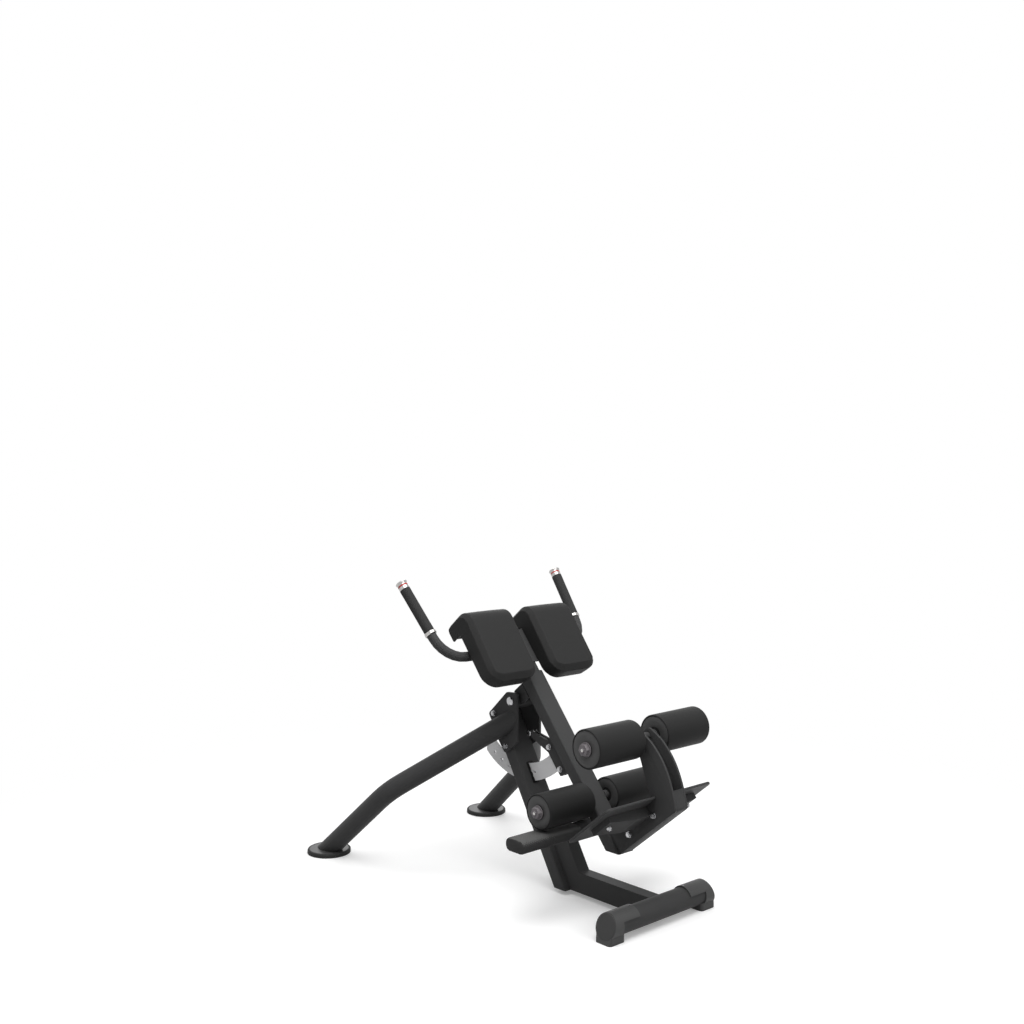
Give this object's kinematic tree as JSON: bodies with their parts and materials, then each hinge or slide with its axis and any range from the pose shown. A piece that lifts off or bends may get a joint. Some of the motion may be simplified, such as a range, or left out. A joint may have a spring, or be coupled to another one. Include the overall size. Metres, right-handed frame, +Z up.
{
  "type": "hyperextension bench",
  "caption": "Floor-standing hyperextension bench: tilting beam with sliding hip pads and handles, ankle rollers, foot plate, sector lock and a three-point floor frame.",
  "frame": {"origin": "floor level, under the centre of the bounding box", "axes": "+X towards the front cross foot, +Y towards the side with the pull pins, +Z up"},
  "size_m": [1.5039, 0.961, 1.0827],
  "materials": {
    "arm_bolt_inner_zinc_bolt": "bright zinc plating",
    "arm_bolt_outer_zinc_bolt": "bright zinc plating",
    "arm_bracket_frame_paint": "fine-textured charcoal powder coat",
    "base_beam_frame_paint": "fine-textured charcoal powder coat",
    "beam_liner_liner_plastic": "moulded",
    "cheek_bolt_lower_zinc_bolt": "bright zinc plating",
    "cheek_bolt_upper_zinc_bolt": "bright zinc plating",
    "cheek_plate_left_frame_paint": "fine-textured charcoal powder coat",
    "cheek_plate_right_frame_paint": "fine-textured charcoal powder coat",
    "foot_disc_left_black_rubber": "matt",
    "foot_disc_right_black_rubber": "matt",
    "foot_peg_tube_frame_paint": "fine-textured charcoal powder coat",
    "foot_plate_frame_paint": "fine-textured charcoal powder coat",
    "front_cap_left_black_plastic": "moulded, satin",
    "front_cap_right_black_plastic": "moulded, satin",
    "front_cross_tube_frame_paint": "fine-textured charcoal powder coat",
    "grip_cap_left_chrome_trim": "polished",
    "grip_cap_right_chrome_trim": "polished",
    "grip_collar_left_chrome_trim": "polished",
    "grip_collar_right_chrome_trim": "polished",
    "grip_left_black_rubber": "matt",
    "grip_right_black_rubber": "matt",
    "handle_left_frame_paint": "fine-textured charcoal powder coat",
    "handle_right_frame_paint": "fine-textured charcoal powder coat",
    "height_knob_black_plastic": "moulded, satin",
    "height_pin_zinc_bolt": "bright zinc plating",
    "hip_pad_left_pad_vinyl": "matt synthetic leather over foam",
    "hip_pad_right_pad_vinyl": "matt synthetic leather over foam",
    "leg_base_plate_left_sector_silver": "light grey paint",
    "leg_base_plate_right_sector_silver": "light grey paint",
    "lock_housing_zinc_bolt": "bright zinc plating",
    "lock_knob_black_plastic": "moulded, satin",
    "lock_pin_zinc_bolt": "bright zinc plating",
    "lower_axle_zinc_bolt": "bright zinc plating",
    "lower_roller_left_foam_skin": "smooth skin over foam",
    "lower_roller_right_foam_skin": "smooth skin over foam",
    "main_beam_frame_paint": "fine-textured charcoal powder coat",
    "pad_board_left_birch_ply": "plywood",
    "pad_board_right_birch_ply": "plywood",
    "pad_support_frame_paint": "fine-textured charcoal powder coat",
    "peg_sleeve_left_black_rubber": "matt",
    "peg_sleeve_right_black_rubber": "matt",
    "pivot_bush_liner_plastic": "moulded",
    "pivot_shaft_zinc_bolt": "bright zinc plating",
    "pivot_sleeve_frame_paint": "fine-textured charcoal powder coat",
    "plate_bolt_left_zinc_bolt": "bright zinc plating",
    "plate_bolt_right_zinc_bolt": "bright zinc plating",
    "rear_leg_left_frame_paint": "fine-textured charcoal powder coat",
    "rear_leg_right_frame_paint": "fine-textured charcoal powder coat",
    "sector_bolt_lower_zinc_bolt": "bright zinc plating",
    "sector_bolt_upper_zinc_bolt": "bright zinc plating",
    "sector_bracket_frame_paint": "fine-textured charcoal powder coat",
    "sector_plate_sector_silver": "light grey paint",
    "slide_tube_frame_paint": "fine-textured charcoal powder coat",
    "slot_bezel_black_plastic": "moulded, satin",
    "stop_bumper_zinc_bolt": "bright zinc plating",
    "upper_axle_zinc_bolt": "bright zinc plating",
    "upper_roller_left_foam_skin": "smooth skin over foam",
    "upper_roller_right_foam_skin": "smooth skin over foam",
    "upright_post_frame_paint": "fine-textured charcoal powder coat"
  },
  "bodies": {
    "floor_frame": {"base_beam": "base_beam_frame_paint", "front_cross_tube": "front_cross_tube_frame_paint", "front_cap_left": "front_cap_left_black_plastic", "front_cap_right": "front_cap_right_black_plastic", "upright_post": "upright_post_frame_paint", "slot_bezel": "slot_bezel_black_plastic", "cheek_plate_left": "cheek_plate_left_frame_paint", "cheek_plate_right": "cheek_plate_right_frame_paint", "cheek_bolt_upper": "cheek_bolt_upper_zinc_bolt", "cheek_bolt_lower": "cheek_bolt_lower_zinc_bolt", "pivot_shaft": "pivot_shaft_zinc_bolt", "rear_leg_left": "rear_leg_left_frame_paint", "rear_leg_right": "rear_leg_right_frame_paint", "leg_base_plate_left": "leg_base_plate_left_sector_silver", "leg_base_plate_right": "leg_base_plate_right_sector_silver", "foot_disc_left": "foot_disc_left_black_rubber", "foot_disc_right": "foot_disc_right_black_rubber", "lock_housing": "lock_housing_zinc_bolt"},
    "beam": {"main_beam": "main_beam_frame_paint", "pivot_sleeve": "pivot_sleeve_frame_paint", "pivot_bush": "pivot_bush_liner_plastic", "sector_plate": "sector_plate_sector_silver", "sector_bracket": "sector_bracket_frame_paint", "sector_bolt_upper": "sector_bolt_upper_zinc_bolt", "sector_bolt_lower": "sector_bolt_lower_zinc_bolt", "stop_bumper": "stop_bumper_zinc_bolt", "arm_bracket": "arm_bracket_frame_paint", "arm_bolt_inner": "arm_bolt_inner_zinc_bolt", "arm_bolt_outer": "arm_bolt_outer_zinc_bolt", "foot_plate": "foot_plate_frame_paint", "plate_bolt_left": "plate_bolt_left_zinc_bolt", "plate_bolt_right": "plate_bolt_right_zinc_bolt", "foot_peg_tube": "foot_peg_tube_frame_paint", "peg_sleeve_left": "peg_sleeve_left_black_rubber", "peg_sleeve_right": "peg_sleeve_right_black_rubber", "upper_axle": "upper_axle_zinc_bolt", "lower_axle": "lower_axle_zinc_bolt", "beam_liner": "beam_liner_liner_plastic"},
    "lock_pull_pin": {"lock_pin": "lock_pin_zinc_bolt", "lock_knob": "lock_knob_black_plastic"},
    "height_pull_pin": {"height_pin": "height_pin_zinc_bolt", "height_knob": "height_knob_black_plastic"},
    "pad_carriage": {"slide_tube": "slide_tube_frame_paint", "pad_support": "pad_support_frame_paint", "pad_board_left": "pad_board_left_birch_ply", "pad_board_right": "pad_board_right_birch_ply", "hip_pad_left": "hip_pad_left_pad_vinyl", "hip_pad_right": "hip_pad_right_pad_vinyl", "handle_left": "handle_left_frame_paint", "handle_right": "handle_right_frame_paint", "grip_left": "grip_left_black_rubber", "grip_right": "grip_right_black_rubber", "grip_collar_left": "grip_collar_left_chrome_trim", "grip_collar_right": "grip_collar_right_chrome_trim", "grip_cap_left": "grip_cap_left_chrome_trim", "grip_cap_right": "grip_cap_right_chrome_trim"},
    "upper_left_roller": {"upper_roller_left": "upper_roller_left_foam_skin"},
    "upper_right_roller": {"upper_roller_right": "upper_roller_right_foam_skin"},
    "lower_left_roller": {"lower_roller_left": "lower_roller_left_foam_skin"},
    "lower_right_roller": {"lower_roller_right": "lower_roller_right_foam_skin"}
  },
  "joints": [
    {"name": "beam_tilt", "type": "hinge", "parent": "floor_frame", "child": "beam", "pos_m": [-0.0011, 0, 0.6378], "axis": [0, -1, 0], "range_deg": [-9.8, 39.2]},
    {"name": "lock_pin_slide", "type": "slide", "parent": "floor_frame", "child": "lock_pull_pin", "axis": [0, -1, 0], "range_m": [0, 0.012]},
    {"name": "height_pin_slide", "type": "slide", "parent": "beam", "child": "height_pull_pin", "axis": [0, -1, 0], "range_m": [0, 0.012]},
    {"name": "pad_height_slide", "type": "slide", "parent": "beam", "child": "pad_carriage", "axis": [-0.632, 0, 0.7749], "range_m": [-0.03, 0.09]},
    {"name": "upper_left_roller_spin", "type": "hinge", "parent": "beam", "child": "upper_left_roller", "pos_m": [0.58522, 0, 0.60163], "axis": [0, 1, 0], "continuous": true},
    {"name": "upper_right_roller_spin", "type": "hinge", "parent": "beam", "child": "upper_right_roller", "pos_m": [0.58522, 0, 0.60163], "axis": [0, 1, 0], "continuous": true},
    {"name": "lower_left_roller_spin", "type": "hinge", "parent": "beam", "child": "lower_left_roller", "pos_m": [0.36631, 0, 0.3547], "axis": [0, 1, 0], "continuous": true},
    {"name": "lower_right_roller_spin", "type": "hinge", "parent": "beam", "child": "lower_right_roller", "pos_m": [0.36631, 0, 0.3547], "axis": [0, 1, 0], "continuous": true}
  ]
}
